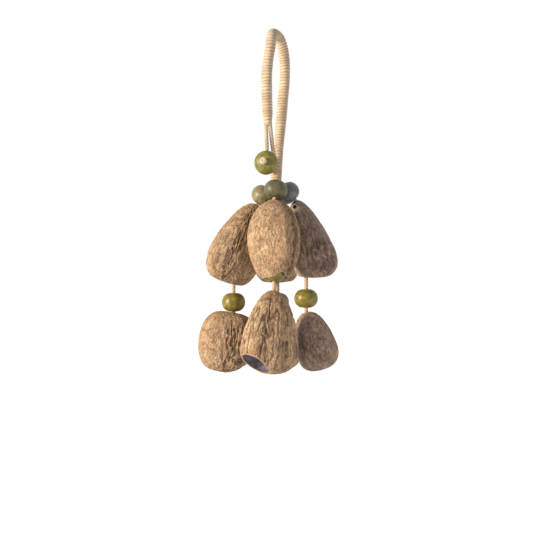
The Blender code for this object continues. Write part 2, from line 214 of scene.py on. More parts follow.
# %% [markdown]
# ## Routes of the cords
# The loop is a bundle of cotton nearly as thick as a pencil, bent over and bound. Its route is the
# one that the solid follows, and runs 2 to 3 mm further at both ends: up the back leg, over the
# top and down the front leg. A smooth curve through a few points is steadier than many points set
# by hand.

# %% Smooth routes
LOOP_STEP = 0.2 * MM
STRING_STEP = 0.3 * MM


def smooth_route(points, step):
    """Points along one smooth curve through the given points, about a step apart."""
    tangents = []
    for index, point in enumerate(points):
        before = points[max(index - 1, 0)]
        after = points[min(index + 1, len(points) - 1)]
        back = (point - before).length
        ahead = (after - point).length
        if back == 0.0:
            tangents.append((after - point).normalized())
        elif ahead == 0.0:
            tangents.append((point - before).normalized())
        else:
            blend = (after - point) * (back / ahead) + (point - before) * (ahead / back)
            tangents.append(blend / (back + ahead))
    route = [points[0]]
    for index in range(len(points) - 1):
        start, end = points[index], points[index + 1]
        chord = (end - start).length
        pieces = max(1, round(chord / step))
        for piece in range(1, pieces + 1):
            s = piece / pieces
            route.append(
                start * (2 * s**3 - 3 * s**2 + 1)
                + tangents[index] * chord * (s**3 - 2 * s**2 + s)
                + end * (3 * s**2 - 2 * s**3)
                + tangents[index + 1] * chord * (s**3 - s**2)
            )
    return route


def route_length(route):
    """The length along a route."""
    return sum((after - before).length for before, after in zip(route, route[1:]))


LOOP_ROUTE = [Vector(point) * MM for point in (
    (0.2, 1.2, -82.2), (0.9, 3.0, -71.0), (1.6, 4.8, -63.0), (2.6, 7.0, -53.4), (3.5, 8.8, -43.2),
    (4.4, 9.8, -32.9), (5.2, 10.3, -25.3), (5.5, 10.3, -16.0), (4.7, 9.9, -7.0), (2.2, 6.2, 0.8),
    (-1.0, 0.0, 2.95), (-2.1, -6.2, 0.8), (-3.0, -9.8, -6.0), (-4.1, -10.5, -12.5),
    (-5.0, -10.6, -20.2), (-5.0, -10.2, -32.9), (-4.6, -9.3, -43.7), (-4.4, -9.0, -50.0),
)]
EYE_ROUTE = [Vector(point) * MM for point in (
    (-5.2, -9.0, -46.0), (-5.4, -8.7, -51.0), (-5.3, -8.3, -56.0), (-5.0, -6.6, -63.0),
    (-5.4, -3.6, -68.5), (-5.6, -2.6, -72.3), (-3.3, -2.3, -76.2), (-0.6, -2.6, -72.4),
    (-0.8, -3.4, -68.0), (-1.7, -5.4, -62.5), (-2.7, -7.9, -54.0), (-3.5, -9.0, -46.0),
)]
loop_line = smooth_route(LOOP_ROUTE, LOOP_STEP)
print("bound loop:", round(route_length(loop_line) / MM), "mm")

# %% [markdown]
# ## Cotton
# Unbleached cotton is cream, with browner dirt in the grooves between its turns. Its fibres stand
# off the thread and catch the light at the edges, which sheen gives. It has no gloss at all, so its
# roughness is high. Fibres are about 0.02 mm thick, too fine to show, and are drawn ten times as
# coarse.

# %% Cotton thread and string
WORN_PATCH = 5.0 * MM
FIBRE_RELIEF = 0.12 * MM


def cotton(name, cream, groove_brown, fibre):
    """Spun cotton, cream on its crowns and brown in its grooves."""
    material, tree, shader = new_material(name)
    place = place_in(tree)
    patches = add_node(tree, "ShaderNodeTexNoise", {"Vector": place, "Scale": 1.0 / WORN_PATCH})
    worn = add_node(tree, "ShaderNodeMapRange", {"Value": patches.outputs["Fac"], 1: 0.35, 2: 0.7})
    body = blend_colours(tree, worn.outputs[0], linear(cream), linear("#D2B798"))
    dirt = add_node(tree, "ShaderNodeMath", {0: mark_in(tree, "groove"), 1: 0.9}, operation="MULTIPLY")
    fibres = add_node(tree, "ShaderNodeTexNoise", {"Vector": place, "Scale": 1.0 / fibre, "Detail": 4.0})
    bump = add_node(tree, "ShaderNodeBump", {
        "Height": fibres.outputs["Fac"], "Distance": FIBRE_RELIEF, "Strength": 0.6,
    })
    feed(tree, shader, {
        "Base Color": blend_colours(tree, dirt.outputs[0], body, linear(groove_brown)),
        "Normal": bump.outputs["Normal"],
        "Roughness": 0.92,
        "Sheen Weight": 0.25,
        "Sheen Roughness": 0.5,
    })
    return material


binding_cotton = cotton("unbleached_cotton_binding", "#EAD5B6", "#74563B", 0.25 * MM)
string_cotton = cotton("twisted_cotton_string", "#EADAC2", "#9A7E60", 0.2 * MM)
print("cotton:", binding_cotton.name, string_cotton.name)

# %% [markdown]
# ## The bound loop
# The maker lays a thread beside itself, turn by turn, round the bundle. Each turn shows as a small
# round ridge. A bump map would leave the outline smooth, so the ridges are modelled: the tube's
# radius rises and falls once a turn, and the turn climbs as the angle goes round.

# %% Wind the loop
LOOP_RADIUS = 3.2 * MM
LOOP_SIDES = 44
TURN_PITCH = 1.7 * MM
TURN_HEIGHT = 0.5 * MM
TAPER_LENGTH = 6.0 * MM
TAPER_RADIUS = 2.35 * MM
LONG_WAVE = 3.7 * MM
LONG_SHIFT = 0.12
SHORT_WAVE = 1.3 * MM
SHORT_SHIFT = 0.1
SWELL = 0.1 * MM
SWELL_WAVE = 6.1 * MM
GROOVE_WIDENING = 1.1


def bound_shape(distance, angle):
    """Round turns of thread, a little uneven in height and width, thinner at the last end."""
    uneven = LONG_SHIFT * np.sin(distance / LONG_WAVE) + SHORT_SHIFT * np.sin(distance / SHORT_WAVE + 2.0)
    turn = (distance / TURN_PITCH + uneven - angle / (2.0 * math.pi)) % 1.0
    crown = np.sqrt(np.clip(1.0 - (2.0 * turn - 1.0) ** 2, 0.0, 1.0))
    swell = SWELL * (np.sin(distance / SWELL_WAVE + 2.0 * angle) - 1.0)
    radius = LOOP_RADIUS - TURN_HEIGHT * (1.0 - crown) + swell
    narrowing = np.clip(1.0 - (distance[-1] - distance) / TAPER_LENGTH, 0.0, 1.0)
    radius = np.maximum(radius - (LOOP_RADIUS - TAPER_RADIUS) * narrowing, TAPER_RADIUS)
    return radius, np.clip(1.0 - crown * GROOVE_WIDENING, 0.0, 1.0)


bound_loop = tube("bound_cotton_loop", loop_line, bound_shape, LOOP_SIDES, [binding_cotton])
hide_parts("bound_loop")
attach(bound_loop, "handle")
print("turns of thread:", round(route_length(loop_line) / TURN_PITCH))

# %% [markdown]
# ## String and knots
# The string is three strands twisted together. Seen from the side, that makes slanting grooves, and
# seen end on, three lobes that turn as they go. The same tube makes it from another cross-section.
# A knot is the string wound round itself, so it is a short coil of the same tube.

# %% Twisted string and its knots
STRING_RADIUS = 1.2 * MM
STRING_SIDES = 18
STRAND_RELIEF = 0.22
TIP_SHARE = 0.2
TWIST = 5.5 * MM
KNOT_RADIUS = 2.2 * MM
KNOT_STEPS = 80
KNOT_TURNS = 1.8
KNOT_STRING_RADIUS = 1.0 * MM
KNOT_TWIST = 4.5 * MM
KNOT_CORE = 0.25 * MM
KNOT_REACH = 1.2 * MM
KNOT_HALF_HEIGHT = 1.125 * MM
KNOT_WOBBLE = 0.375 * MM
KNOT_TUCK = 6.0


def twisted_shape(radius, lay):
    """The cross-section of three strands, which turns once in each lay of length, with round ends."""
    def shape(distance, angle):
        lobe = np.abs(np.cos(1.5 * (angle - 2.0 * math.pi * distance / lay)))
        to_end = np.minimum(distance, distance[-1] - distance)
        rounding = np.sqrt(np.clip(1.0 - (1.0 - to_end / radius) ** 2, TIP_SHARE**2, 1.0))
        rounding = np.where(to_end > radius, 1.0, rounding)
        return radius * (1.0 - STRAND_RELIEF * (1.0 - lobe)) * rounding, (1.0 - lobe) ** 2
    return shape


def string_piece(name, points, body, nodes):
    """A string through the given points, in place of its solid."""
    line = smooth_route(points, STRING_STEP)
    piece = tube(name, line, twisted_shape(STRING_RADIUS, TWIST), STRING_SIDES, [string_cotton])
    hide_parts(*nodes)
    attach(piece, body)


def knot_piece(name, centre, axis, body):
    """The string wound nearly twice round itself, its ends tucked in."""
    side = axis.orthogonal().normalized()
    other = axis.cross(side)
    line = []
    for step in range(KNOT_STEPS + 1):
        share = step / KNOT_STEPS
        angle = 2.0 * math.pi * KNOT_TURNS * share
        tuck = min(1.0, KNOT_TUCK * share, KNOT_TUCK * (1.0 - share))
        reach = KNOT_CORE + (KNOT_REACH - KNOT_CORE) * tuck
        height = KNOT_HALF_HEIGHT * (1.0 - 2.0 * share) + KNOT_WOBBLE * math.sin(angle)
        line.append(centre + (side * math.cos(angle) + other * math.sin(angle)) * reach + axis * height)
    piece = tube(name, line, twisted_shape(KNOT_STRING_RADIUS, KNOT_TWIST), STRING_SIDES, [string_cotton])
    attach(piece, body)


string_piece("button_eye_strands", EYE_ROUTE, "handle", ["button_eye"])
print("string:", round(2.0 * STRING_RADIUS / MM, 1), "mm thick")

# %% Tie of the toggle bead
TOGGLE_CENTRE = Vector((-5.4, -10.7, -71.7)) * MM
TOGGLE_FACING = Vector((-0.22, -0.97, 0.10)).normalized()
TIE_TURN = Vector((-3.3, -1.9, -72.0)) * MM
BEAD_HALF_HEIGHT = 5.4 * MM
KNOT_STANDS_OFF = KNOT_RADIUS * 0.8

bead_back = TOGGLE_CENTRE - TOGGLE_FACING * BEAD_HALF_HEIGHT
bead_front = TOGGLE_CENTRE + TOGGLE_FACING * BEAD_HALF_HEIGHT
leg = min(loop_line, key=lambda point: (point - TIE_TURN).length)
tie_points = [
    leg + (TIE_TURN - leg).normalized() * LOOP_RADIUS, TIE_TURN,
    bead_back - TOGGLE_FACING * STRING_RADIUS, bead_back, bead_front + TOGGLE_FACING * KNOT_RADIUS,
]
string_piece("toggle_tie_string", tie_points, "handle", ["toggle_tie"])
knot_piece("toggle_knot", bead_front + TOGGLE_FACING * KNOT_STANDS_OFF, TOGGLE_FACING, "handle")
print("toggle bead at", tuple(round(value / MM, 1) for value in TOGGLE_CENTRE))

# %% [markdown]
# ## Painted beads
# A wooden bead is turned on a lathe: a cutter runs over it while it spins, and leaves fine rings
# round its hole. The paint is brushed on thin and matt to satin, so the rings still show, and it is
# worn through to the wood at the rim of the hole. Spinning a profile makes the same form, and the
# rings go into the profile itself.

# %% Bead paint
PAINT_MOTTLE = 2.2 * MM
PAINT_RELIEF = 0.06 * MM
WORN_WOOD = "#5A4426"


def bead_paint(name, main, deep, gloss=0.38):
    """Water-based paint on turned wood, worn to the wood where its mark says so."""
    material, tree, shader = new_material(name)
    mottle = add_node(tree, "ShaderNodeTexNoise", {
        "Vector": place_in(tree), "Scale": 1.0 / PAINT_MOTTLE, "Detail": 5.0,
    }).outputs["Fac"]
    share = add_node(tree, "ShaderNodeMapRange", {"Value": mottle, 1: 0.36, 2: 0.66})
    coat = blend_colours(tree, share.outputs[0], linear(deep), linear(main))
    ring_share = add_node(tree, "ShaderNodeMath", {0: mark_in(tree, "ring"), 1: 0.45}, operation="MULTIPLY")
    lined = blend_colours(tree, ring_share.outputs[0], coat, linear(deep))
    rough = add_node(tree, "ShaderNodeMapRange", {"Value": mottle, 3: gloss - 0.08, 4: gloss + 0.12})
    bump = add_node(tree, "ShaderNodeBump", {"Height": mottle, "Distance": PAINT_RELIEF, "Strength": 0.5})
    feed(tree, shader, {
        "Base Color": blend_colours(tree, mark_in(tree, "wear"), lined, linear(WORN_WOOD)),
        "Roughness": rough.outputs[0],
        "Normal": bump.outputs["Normal"],
        "IOR": 1.48,
    })
    return material


# Every bead wears one olive paint; the top beads get copies of it with painted light.
PAINTS = {
    "toggle_bead": bead_paint("bright_olive_bead_paint", "#9D9440", "#6A672A"),
    # Painted shade and sky reflection turn the front bead's olive grey.
    "front_top_bead": bead_paint("olive_bead_paint_with_painted_shade_and_reflection", "#77744F", "#504C36", gloss=0.4),
    # A painted highlight makes the left bead's olive paler and browner.
    "left_top_bead": bead_paint("olive_bead_paint_with_painted_highlight", "#A3966A", "#70664A", gloss=0.36),
    # The right bead's blue-grey is painted shade and sky reflection over the olive.
    "right_top_bead": bead_paint("olive_bead_paint_as_painted_blue_shade", "#7F8587", "#53595C"),
    # The back bead's darker olive is painted shade.
    "back_top_bead": bead_paint("olive_bead_paint_with_painted_shade", "#6D6A3A", "#474626"),
}
OLIVE_PAINT = bead_paint("olive_green_bead_paint", "#A39238", "#716626", gloss=0.32)
print("paints:", len(PAINTS) + 1)

# %% Turn a bead
BEAD_RADIUS = 6.9 * MM
BEAD_HOLE = 1.3 * MM
BEAD_FULLNESS = 0.85
BEAD_ROWS = 73
BORE_ROWS = 5
BEAD_COLUMNS = 72
BEAD_SIDE = Vector((1.0, 0.2, 0.1))
RING_PITCH = 0.75 * MM
RING_DEPTH = 0.05 * MM
TOGGLE_RING_DEPTH = 0.09 * MM
WORN_RIM = 0.35 * MM
OUT_OF_ROUND = 0.008


def frame_towards(origin, down, side):
    """A frame at origin whose -Z runs along down and whose +X is as near to side as it can be."""
    z_axis = -down.normalized()
    x_axis = (side - z_axis * side.dot(z_axis)).normalized()
    turned = Matrix((x_axis, z_axis.cross(x_axis), z_axis)).transposed()
    return Matrix.Translation(origin) @ turned.to_4x4()


def placed(rings, frame_matrix):
    """Rings of points in a piece's own frame, moved to where it stands."""
    return rings @ np.array(frame_matrix.to_3x3()).T + np.array(frame_matrix.translation)


def make_bead(name, centre, facing, body, ring_depth=RING_DEPTH):
    """A turned bead in place of its solid, with its rings and its worn hole."""
    turn = np.linspace(0.0, math.pi, BEAD_ROWS)
    radius = BEAD_HOLE + (BEAD_RADIUS - BEAD_HOLE) * np.sin(turn) ** BEAD_FULLNESS
    height = -BEAD_HALF_HEIGHT * np.cos(turn)
    length = np.concatenate(([0.0], np.cumsum(np.hypot(np.diff(radius), np.diff(height)))))
    ring = 0.5 - 0.5 * np.cos(2.0 * math.pi * length / RING_PITCH)
    sunk = ring_depth * ring / np.hypot(radius, height)
    wear = np.exp(-(((radius - BEAD_HOLE) / WORN_RIM) ** 2))
    bore_height = np.linspace(BEAD_HALF_HEIGHT, -BEAD_HALF_HEIGHT, BORE_ROWS + 2)[1:-1]
    radius = np.concatenate((radius * (1.0 - sunk), np.full(BORE_ROWS, BEAD_HOLE)))
    height = np.concatenate((height * (1.0 - sunk), bore_height))
    marks = {
        "ring": np.repeat(np.concatenate((ring, np.zeros(BORE_ROWS))), BEAD_COLUMNS),
        "wear": np.repeat(np.concatenate((wear, np.ones(BORE_ROWS))), BEAD_COLUMNS),
    }
    angle = np.linspace(0.0, 2.0 * math.pi, BEAD_COLUMNS, endpoint=False)
    wobble = 1.0 - OUT_OF_ROUND * (1.0 + np.sin(2.0 * angle + centre.x / MM))
    wheel = np.stack((np.cos(angle) * wobble, np.sin(angle) * wobble), axis=-1)
    rings = np.zeros((len(radius), BEAD_COLUMNS, 3))
    rings[..., :2] = radius[:, None, None] * wheel[None]
    rings[..., 2] = height[:, None]
    rings = placed(rings, frame_towards(centre, facing, BEAD_SIDE))
    piece = skin(name + "_painted", rings, [PAINTS.get(name, OLIVE_PAINT)], marks=marks, looped=True)
    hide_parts(name)
    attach(piece, body)


make_bead("toggle_bead", TOGGLE_CENTRE, TOGGLE_FACING, "handle", TOGGLE_RING_DEPTH)
print("a bead is", round(2.0 * BEAD_RADIUS / MM, 1), "mm across")

# %% [markdown]
# ## The nut's shell
# The shell of this nut is as hard as wood. Veins ran along it while it grew, and left furrows that
# fork and meet from stalk to tip. Weather has bleached the ridges to tan and left dust and old
# husk, dark brown, in the furrows. The cut edge is paler, fresh shell. The inside is a thin skin,
# painted a pale cool grey that stands in for the cool light in the shaded hollow. It has no
# gloss, so its roughness is high.

# %% Shell materials
PATCHES_PER_MM = 0.16
WRINKLES_PER_MM = 1.0
WRINKLE_STRETCH = (1.0, 1.0, 0.28)
SPECKS_PER_MM = 2.2
SHELL_RELIEF = 0.25 * MM
CUT_RELIEF = 0.2 * MM


def shell_material(name, ridge_tan, flank, furrow_brown):
    """Weathered nutshell, dark in its furrows and bleached on its ridges."""
    material, tree, shader = new_material(name)
    dirt = linear(furrow_brown)
    in_nut = mark_in(tree, "in_nut", "Vector")
    patches = add_node(tree, "ShaderNodeTexNoise", {
        "Vector": in_nut, "Scale": PATCHES_PER_MM, "Detail": 4.0,
    }).outputs["Fac"]
    share = add_node(tree, "ShaderNodeMapRange", {"Value": patches, 1: 0.4, 2: 0.62})
    bleached = blend_colours(tree, share.outputs[0], linear(flank), linear(ridge_tan))
    drawn_out = add_node(tree, "ShaderNodeMapping", {"Vector": in_nut, "Scale": WRINKLE_STRETCH})
    wrinkle = add_node(tree, "ShaderNodeTexNoise", {
        "Vector": drawn_out.outputs[0], "Scale": WRINKLES_PER_MM, "Detail": 3.0, "Distortion": 0.8,
    })
    off_line = add_node(tree, "ShaderNodeMath", {0: wrinkle.outputs["Fac"], 1: 0.5}, operation="SUBTRACT")
    off_line = add_node(tree, "ShaderNodeMath", {0: off_line.outputs[0]}, operation="ABSOLUTE")
    line = add_node(tree, "ShaderNodeMapRange", {
        "Value": off_line.outputs[0], 1: 0.0, 2: 0.05, 3: 1.0, 4: 0.0,
    }).outputs[0]
    speckle = add_node(tree, "ShaderNodeTexNoise", {
        "Vector": in_nut, "Scale": SPECKS_PER_MM, "Detail": 3.0,
    }).outputs["Fac"]
    specks = add_node(tree, "ShaderNodeMapRange", {"Value": speckle, 1: 0.5, 2: 0.72, 4: 0.6})
    freckled = blend_colours(tree, specks.outputs[0], bleached, dirt)
    thin_dirt = add_node(tree, "ShaderNodeMath", {0: line, 1: 0.72}, operation="MULTIPLY")
    lined = blend_colours(tree, thin_dirt.outputs[0], freckled, dirt)
    grain = add_node(tree, "ShaderNodeBump", {"Height": speckle, "Distance": SHELL_RELIEF, "Strength": 0.6})
    bump = add_node(tree, "ShaderNodeBump", {
        "Height": line, "Distance": SHELL_RELIEF, "Strength": 0.7, "Normal": grain.outputs["Normal"],
    }, invert=True)
    feed(tree, shader, {
        # The furrow mark darkens furrows and veins; on the front upper nut it also paints the shade of the
        # right flank.
        "Base Color": blend_colours(tree, mark_in(tree, "furrow"), lined, dirt),
        "Normal": bump.outputs["Normal"],
        "Roughness": 0.72,
        "IOR": 1.5,
    })
    return material


def plain_shell(name, pale, dark, grain):
    """A cut or inner face of the shell, mottled by its grain."""
    material, tree, shader = new_material(name)
    mottle = add_node(tree, "ShaderNodeTexNoise", {
        "Vector": place_in(tree), "Scale": 1.0 / grain, "Detail": 5.0,
    }).outputs["Fac"]
    share = add_node(tree, "ShaderNodeMapRange", {"Value": mottle, 1: 0.35, 2: 0.65})
    bump = add_node(tree, "ShaderNodeBump", {"Height": mottle, "Distance": CUT_RELIEF, "Strength": 0.6})
    feed(tree, shader, {
        "Base Color": blend_colours(tree, share.outputs[0], linear(dark), linear(pale)),
        "Normal": bump.outputs["Normal"],
        "Roughness": 0.8,
    })
    return material


WARM_SHELL = shell_material("weathered_nutshell_warm", "#E6C49B", "#CCA57D", "#5C4535")
# The grey copy is the same weathered shell with the greyer tone of shade painted into it.
SHELL_IN_PAINTED_SHADE = shell_material("weathered_nutshell_greyed_by_painted_shade", "#D8BDA6", "#B29884", "#4C3C32")
CUT_SHELL = plain_shell("sawn_nutshell_edge", "#C8AC84", "#967450", 0.8 * MM)
# The inner skin's pale cool grey is painted light for the shaded hollow.
INNER_SKIN_WITH_PAINTED_COOL_LIGHT = plain_shell("nutshell_inner_skin_with_painted_cool_light", "#D0CAD4", "#9F97A2", 2.5 * MM)
print("shell materials are ready")

# %% [markdown]
# ## The form of a nut
# A nut is an egg with a slightly three-sided section and one sharper ridge, drilled at its crown
# and sawn off at its foot. Cutting a mesh with a Boolean leaves long thin faces at the mouth. Here
# the rings of points turn gradually from the crown's level to the saw's plane instead, so the
# last ring lies in the cut itself and the faces stay even.

# %% Rings of a nut
WALL = 1.8 * MM
THREE_SIDED = 0.03
RIDGE_HEIGHT = 0.09
RIDGE_SPREAD = math.radians(16.0)
FURROWS = 10
FURROW_DEPTH = 0.5 * MM
FURROW_EVENNESS = 0.7
WANDER = 0.09
WANDER_WAVE = 5.0
SHIVER = 0.05
SHIVER_WAVE = 1.9
LONGEST_REACH = 25.0 * MM
HALVINGS = 22
SHEET_REACH = 18.0 * MM
SHEET_POINTS = 181
RING_SPREAD = 0.62 * math.pi
CROWN_DEPTH = 0.18 * MM


def heading_vector(degrees):
    """The level direction at an angle in degrees, counted from the right."""
    angle = math.radians(degrees)
    return Vector((math.cos(angle), math.sin(angle), 0.0))


def shell_axis(nut):
    """The direction in which a nut hangs, from its crown to its foot."""
    tilt = math.radians(nut["tilt"])
    return DOWN * math.cos(tilt) + heading_vector(nut["heading"]) * math.sin(tilt)


def turned_from(angle, degrees):
    """How far an angle lies from one in degrees, at most half a turn either way."""
    return (angle - math.radians(degrees) + math.pi) % (2.0 * math.pi) - math.pi


def inside_nut(nut, points, inset):
    """Which points lie inside the nut's surface, or inside the one that lies inset within it."""
    length = nut["length"] * MM - 2.0 * inset
    half_width = nut["half_width"] * MM - inset
    half_depth = nut["half_depth"] * MM - inset
    lengthwise = 1.0 - 2.0 * (-points[..., 2] - inset) / length
    around = np.sqrt(np.clip(1.0 - lengthwise**2, 0.0, 1.0))
    share = around ** nut["fullness"] / (1.0 + nut["taper"] * np.clip(lengthwise, -1.0, 1.0))
    across, deep = points[..., 0] / half_width, points[..., 1] / half_depth
    away = turned_from(np.arctan2(deep, across), nut["ridge"])
    crest = THREE_SIDED * np.cos(3.0 * away) + RIDGE_HEIGHT * np.exp(-((away / RIDGE_SPREAD) ** 2))
    sunk = 0.0
    if inset == 0.0:
        height = points[..., 2] / MM + nut["seed"]
        wander = away + WANDER * np.sin(height / WANDER_WAVE)
        wander += SHIVER * np.sin(height / SHIVER_WAVE + 3.0 * away)
        valley = 1.0 - np.abs(np.cos(FURROWS / 2.0 * wander))
        evenness = FURROW_EVENNESS + (1.0 - FURROW_EVENNESS) * np.cos(away)
        sunk = FURROW_DEPTH / half_width * evenness * valley
    return np.hypot(across, deep) < share * (1.0 + crest * share - sunk)


def reach_out(nut, centres, wheels, inset):
    """The points of the surface that lie straight out from the centres, found by halving."""
    near = np.zeros(wheels.shape[:2])
    far = np.full(wheels.shape[:2], LONGEST_REACH)
    for _ in range(HALVINGS):
        middle = (near + far) / 2.0
        inner = inside_nut(nut, centres[:, None] + wheels * middle[..., None], inset)
        near = np.where(inner, middle, near)
        far = np.where(inner, far, middle)
    return centres[:, None] + wheels * near[..., None]


def mouth_middle(nut, normal):
    """The middle of the hollow's section in the plane of the saw cut."""
    side = np.cross(normal, (0.0, 1.0, 0.1))
    side /= np.linalg.norm(side)
    other = np.cross(normal, side)
    spread = np.linspace(-SHEET_REACH, SHEET_REACH, SHEET_POINTS)
    sheet = spread[:, None, None] * side + spread[None, :, None] * other
    sheet = sheet + np.array((0.0, 0.0, -nut["mouth_depth"] * MM))
    return sheet[inside_nut(nut, sheet, WALL)].mean(axis=0)


def nut_rings(nut, normal, middle, threading, inset, rows, columns):
    """Rings from the drilled crown to the sawn mouth, on the surface inset within the nut."""
    turn = np.linspace(0.0, RING_SPREAD, rows)
    share = (1.0 - np.cos(turn)) / (1.0 - math.cos(RING_SPREAD))
    start = threading / -threading[2] * (inset + CROWN_DEPTH)
    centres = start + (middle - start) * share[:, None]
    normals = np.array((0.0, 0.0, -1.0)) * (1.0 - share[:, None]) + normal * share[:, None]
    normals /= np.linalg.norm(normals, axis=1)[:, None]
    sides = np.array((1.0, 0.0, 0.0)) - normals * normals[:, :1]
    sides /= np.linalg.norm(sides, axis=1)[:, None]
    angle = np.linspace(0.0, 2.0 * math.pi, columns, endpoint=False)
    wheels = wheels_of(angle, sides, np.cross(sides, normals))
    rings = reach_out(nut, centres, wheels, inset)
    rings[0] = centres[0] + wheels[0] * BEAD_HOLE
    return rings


print("a wall is", WALL / MM, "mm thick")

# %% [markdown]
# ## Furrows
# The furrows are too deep for a bump map: they notch the outline and hold shadow. Each point is
# sunk along the surface's own direction. A noise field crosses zero along winding lines, and lines
# that are stretched from stalk to tip look like the veins. One field gives the wrinkles all over,
# a second the deep veins in the nut's band, and a third, far longer, the long furrows of some
# nuts. The band's veins are coloured dark; on the front upper nut the band lies over the right
# flank, so its dark colour there is also painted shade. How deep a point lies is kept as a mark
# for the colour. The noise has a fixed seed, so the furrows come out the same every time. Lengths
# and depths are in millimetres here.

# %% Sink the furrows
NOISE_SEED = 3
PATCH_SIZE = 8.0
WARP_SIZE = 4.0
WARP_REACH = 0.7
BAND_FADE = 0.25
LONG_FURROW_FADE = 9.0
LONG_FURROW_WARP = 0.35
WRINKLES = dict(shift=0.0, across=1.7, along=7.0, thinness=4.5)
VEINS = dict(shift=7.0, across=1.45, along=14.0, thinness=3.0)
LONG_FURROWS = dict(shift=9.0, across=3.3, along=50.0, thinness=5.5)
WRINKLE_DEPTH = 0.26
PATCH_DEPTH = 0.3
BAND_DEPTH = 0.25
VEIN_DEPTH = 0.75
LONG_DEPTH = 0.5
WRINKLE_MARK = 0.3
PATCH_MARK = 0.4
VEIN_AND_PAINTED_SHADE_MARK = 0.95
LONG_MARK = 0.75

noise.seed_set(NOISE_SEED)


def winding_lines(point, warp, seed, shift, across, along, thinness):
    """1 on lines that wind lengthwise through the points where a noise field is zero, and 0 off them."""
    start = seed + shift
    place = Vector((point[0] / across + start, point[1] / across, point[2] / along)) + warp
    return 1.0 - min(1.0, thinness * abs(noise.noise(place)))


def vein_and_painted_shade_band_share(point, nut, patch):
    """How far a point lies in the nut's band of deep veins, which on the front upper nut also paints the
    shade of its right flank.
    """
    heading, spread, start, strength = nut["band"]
    angle = math.atan2(point[1] / nut["half_depth"], point[0] / nut["half_width"])
    away = turned_from(angle, heading) / math.radians(spread)
    reach = min(1.0, max(0.0, (-point[2] / nut["length"] - start) / BAND_FADE))
    return min(1.0, strength * math.exp(-(away**2)) * reach * (0.5 + patch))


def furrow_depths(rings, nut):
    """The depth, and the mark, of every point of a nut's outside."""
    depth = np.zeros(rings.shape[:2])
    mark = np.zeros(rings.shape[:2])
    seed = nut["seed"]
    shift = Vector((seed, 0.0, 3.0))
    for row, ring in enumerate((rings / MM).tolist()):
        for column, point in enumerate(ring):
            place = Vector(point)
            patch = 0.5 + 0.5 * noise.noise(place / PATCH_SIZE + shift)
            band = vein_and_painted_shade_band_share(point, nut, patch)
            warp = noise.noise_vector(place / WARP_SIZE + shift) * WARP_REACH
            wrinkle = winding_lines(point, warp, seed, **WRINKLES)
            vein = 1.0 - winding_lines(point, warp, seed, **VEINS)
            furrow = winding_lines(point, warp * LONG_FURROW_WARP, seed, **LONG_FURROWS)
            furrow *= nut["long_furrows"] * min(1.0, -point[2] / LONG_FURROW_FADE)
            worn = WRINKLE_DEPTH * wrinkle + PATCH_DEPTH * patch
            veined = BAND_DEPTH + VEIN_DEPTH * vein
            depth[row, column] = (1.0 - band) * worn + band * veined + LONG_DEPTH * furrow
            dusty = wrinkle * (WRINKLE_MARK + PATCH_MARK * patch)
            # Dark veins in the band; on the front upper nut they also paint the shade of its right flank.
            dirt = (1.0 - band) * dusty + band * vein * VEIN_AND_PAINTED_SHADE_MARK + LONG_MARK * furrow
            mark[row, column] = min(1.0, dirt)
    return depth, mark


def outward_directions(rings):
    """The direction straight out of the surface at every point of its rings."""
    down = np.gradient(rings, axis=0)
    round_it = np.roll(rings, -1, axis=1) - np.roll(rings, 1, axis=1)
    outward = np.cross(round_it, down)
    outward /= np.linalg.norm(outward, axis=2)[..., None] + 1e-12
    middle = rings.mean(axis=1)[:, None]
    flip = np.sign((outward * (rings - middle)).sum(axis=2).mean())
    return outward * flip


print("the furrows are up to about a millimetre deep in a wall of", WALL / MM, "mm")

# %% Make a shell
ROWS = 150
COLUMNS = 200
INNER_ROWS = 34
CROWN_FADE_ROWS = 6
MOUTH_FADE_ROWS = 5
THINNING_ROWS = 7
RIM_THINNING = 0.55
SURFACE_LIFT = 0.15
RIM_HEIGHT = 0.1
RAGGED_HEIGHT = 0.12
RAGGED_WAVES = 9.0
RIM_PROFILE = ((0.12, 0.6), (0.4, 1.0), (0.7, 1.0), (0.92, 0.5))
INNER_FROM = ROWS + len(RIM_PROFILE)
SPARE_HOLE_RADIUS = 1.15 * MM
DRILL_LENGTH = 12.0 * MM
DRILL_MIDDLE = -3.0 * MM


def broken_out(rings, nut):
    """The same rings with a shallow arch broken out of the mouth's edge."""
    heading, spread, height = nut["notch"]
    count, around = rings.shape[:2]
    away = turned_from(np.arctan2(rings[-1, :, 1], rings[-1, :, 0]), heading)
    share = height / nut["mouth_depth"] * np.exp(-((away / math.radians(spread)) ** 2))
    row = np.arange(count)[:, None] * (1.0 - share * np.linspace(0.0, 1.0, count)[:, None] ** 4)
    low = np.minimum(row.astype(int), count - 2)
    part = (row - low)[..., None]
    column = np.arange(around)[None, :]
    return rings[low, column] * (1.0 - part) + rings[low + 1, column] * part


def drill_hole(piece, place):
    """Drills a spare hole from the front through the near wall of a shell."""
    across, height = place
    bpy.ops.mesh.primitive_cylinder_add(
        vertices=32, radius=SPARE_HOLE_RADIUS, depth=DRILL_LENGTH,
        location=(across * MM, DRILL_MIDDLE, height * MM), rotation=(math.radians(90.0), 0.0, 0.0),
    )
    drill = bpy.context.object
    drill.data.materials.append(CUT_SHELL)
    cut = piece.modifiers.new("drill", "BOOLEAN")
    cut.object = drill
    cut.solver = "EXACT"
    cut.material_mode = "TRANSFER"
    bpy.context.view_layer.update()
    drilled = bpy.data.meshes.new_from_object(piece.evaluated_get(bpy.context.evaluated_depsgraph_get()))
    piece.modifiers.clear()
    piece.data = drilled
    bpy.data.objects.remove(drill)


def rise_at_end(rows, over):
    """0 for the first rows, and then evenly up to 1 over the last few."""
    return np.clip(1.0 + (np.arange(rows) - rows + 1.0) / over, 0.0, 1.0)[:, None, None]


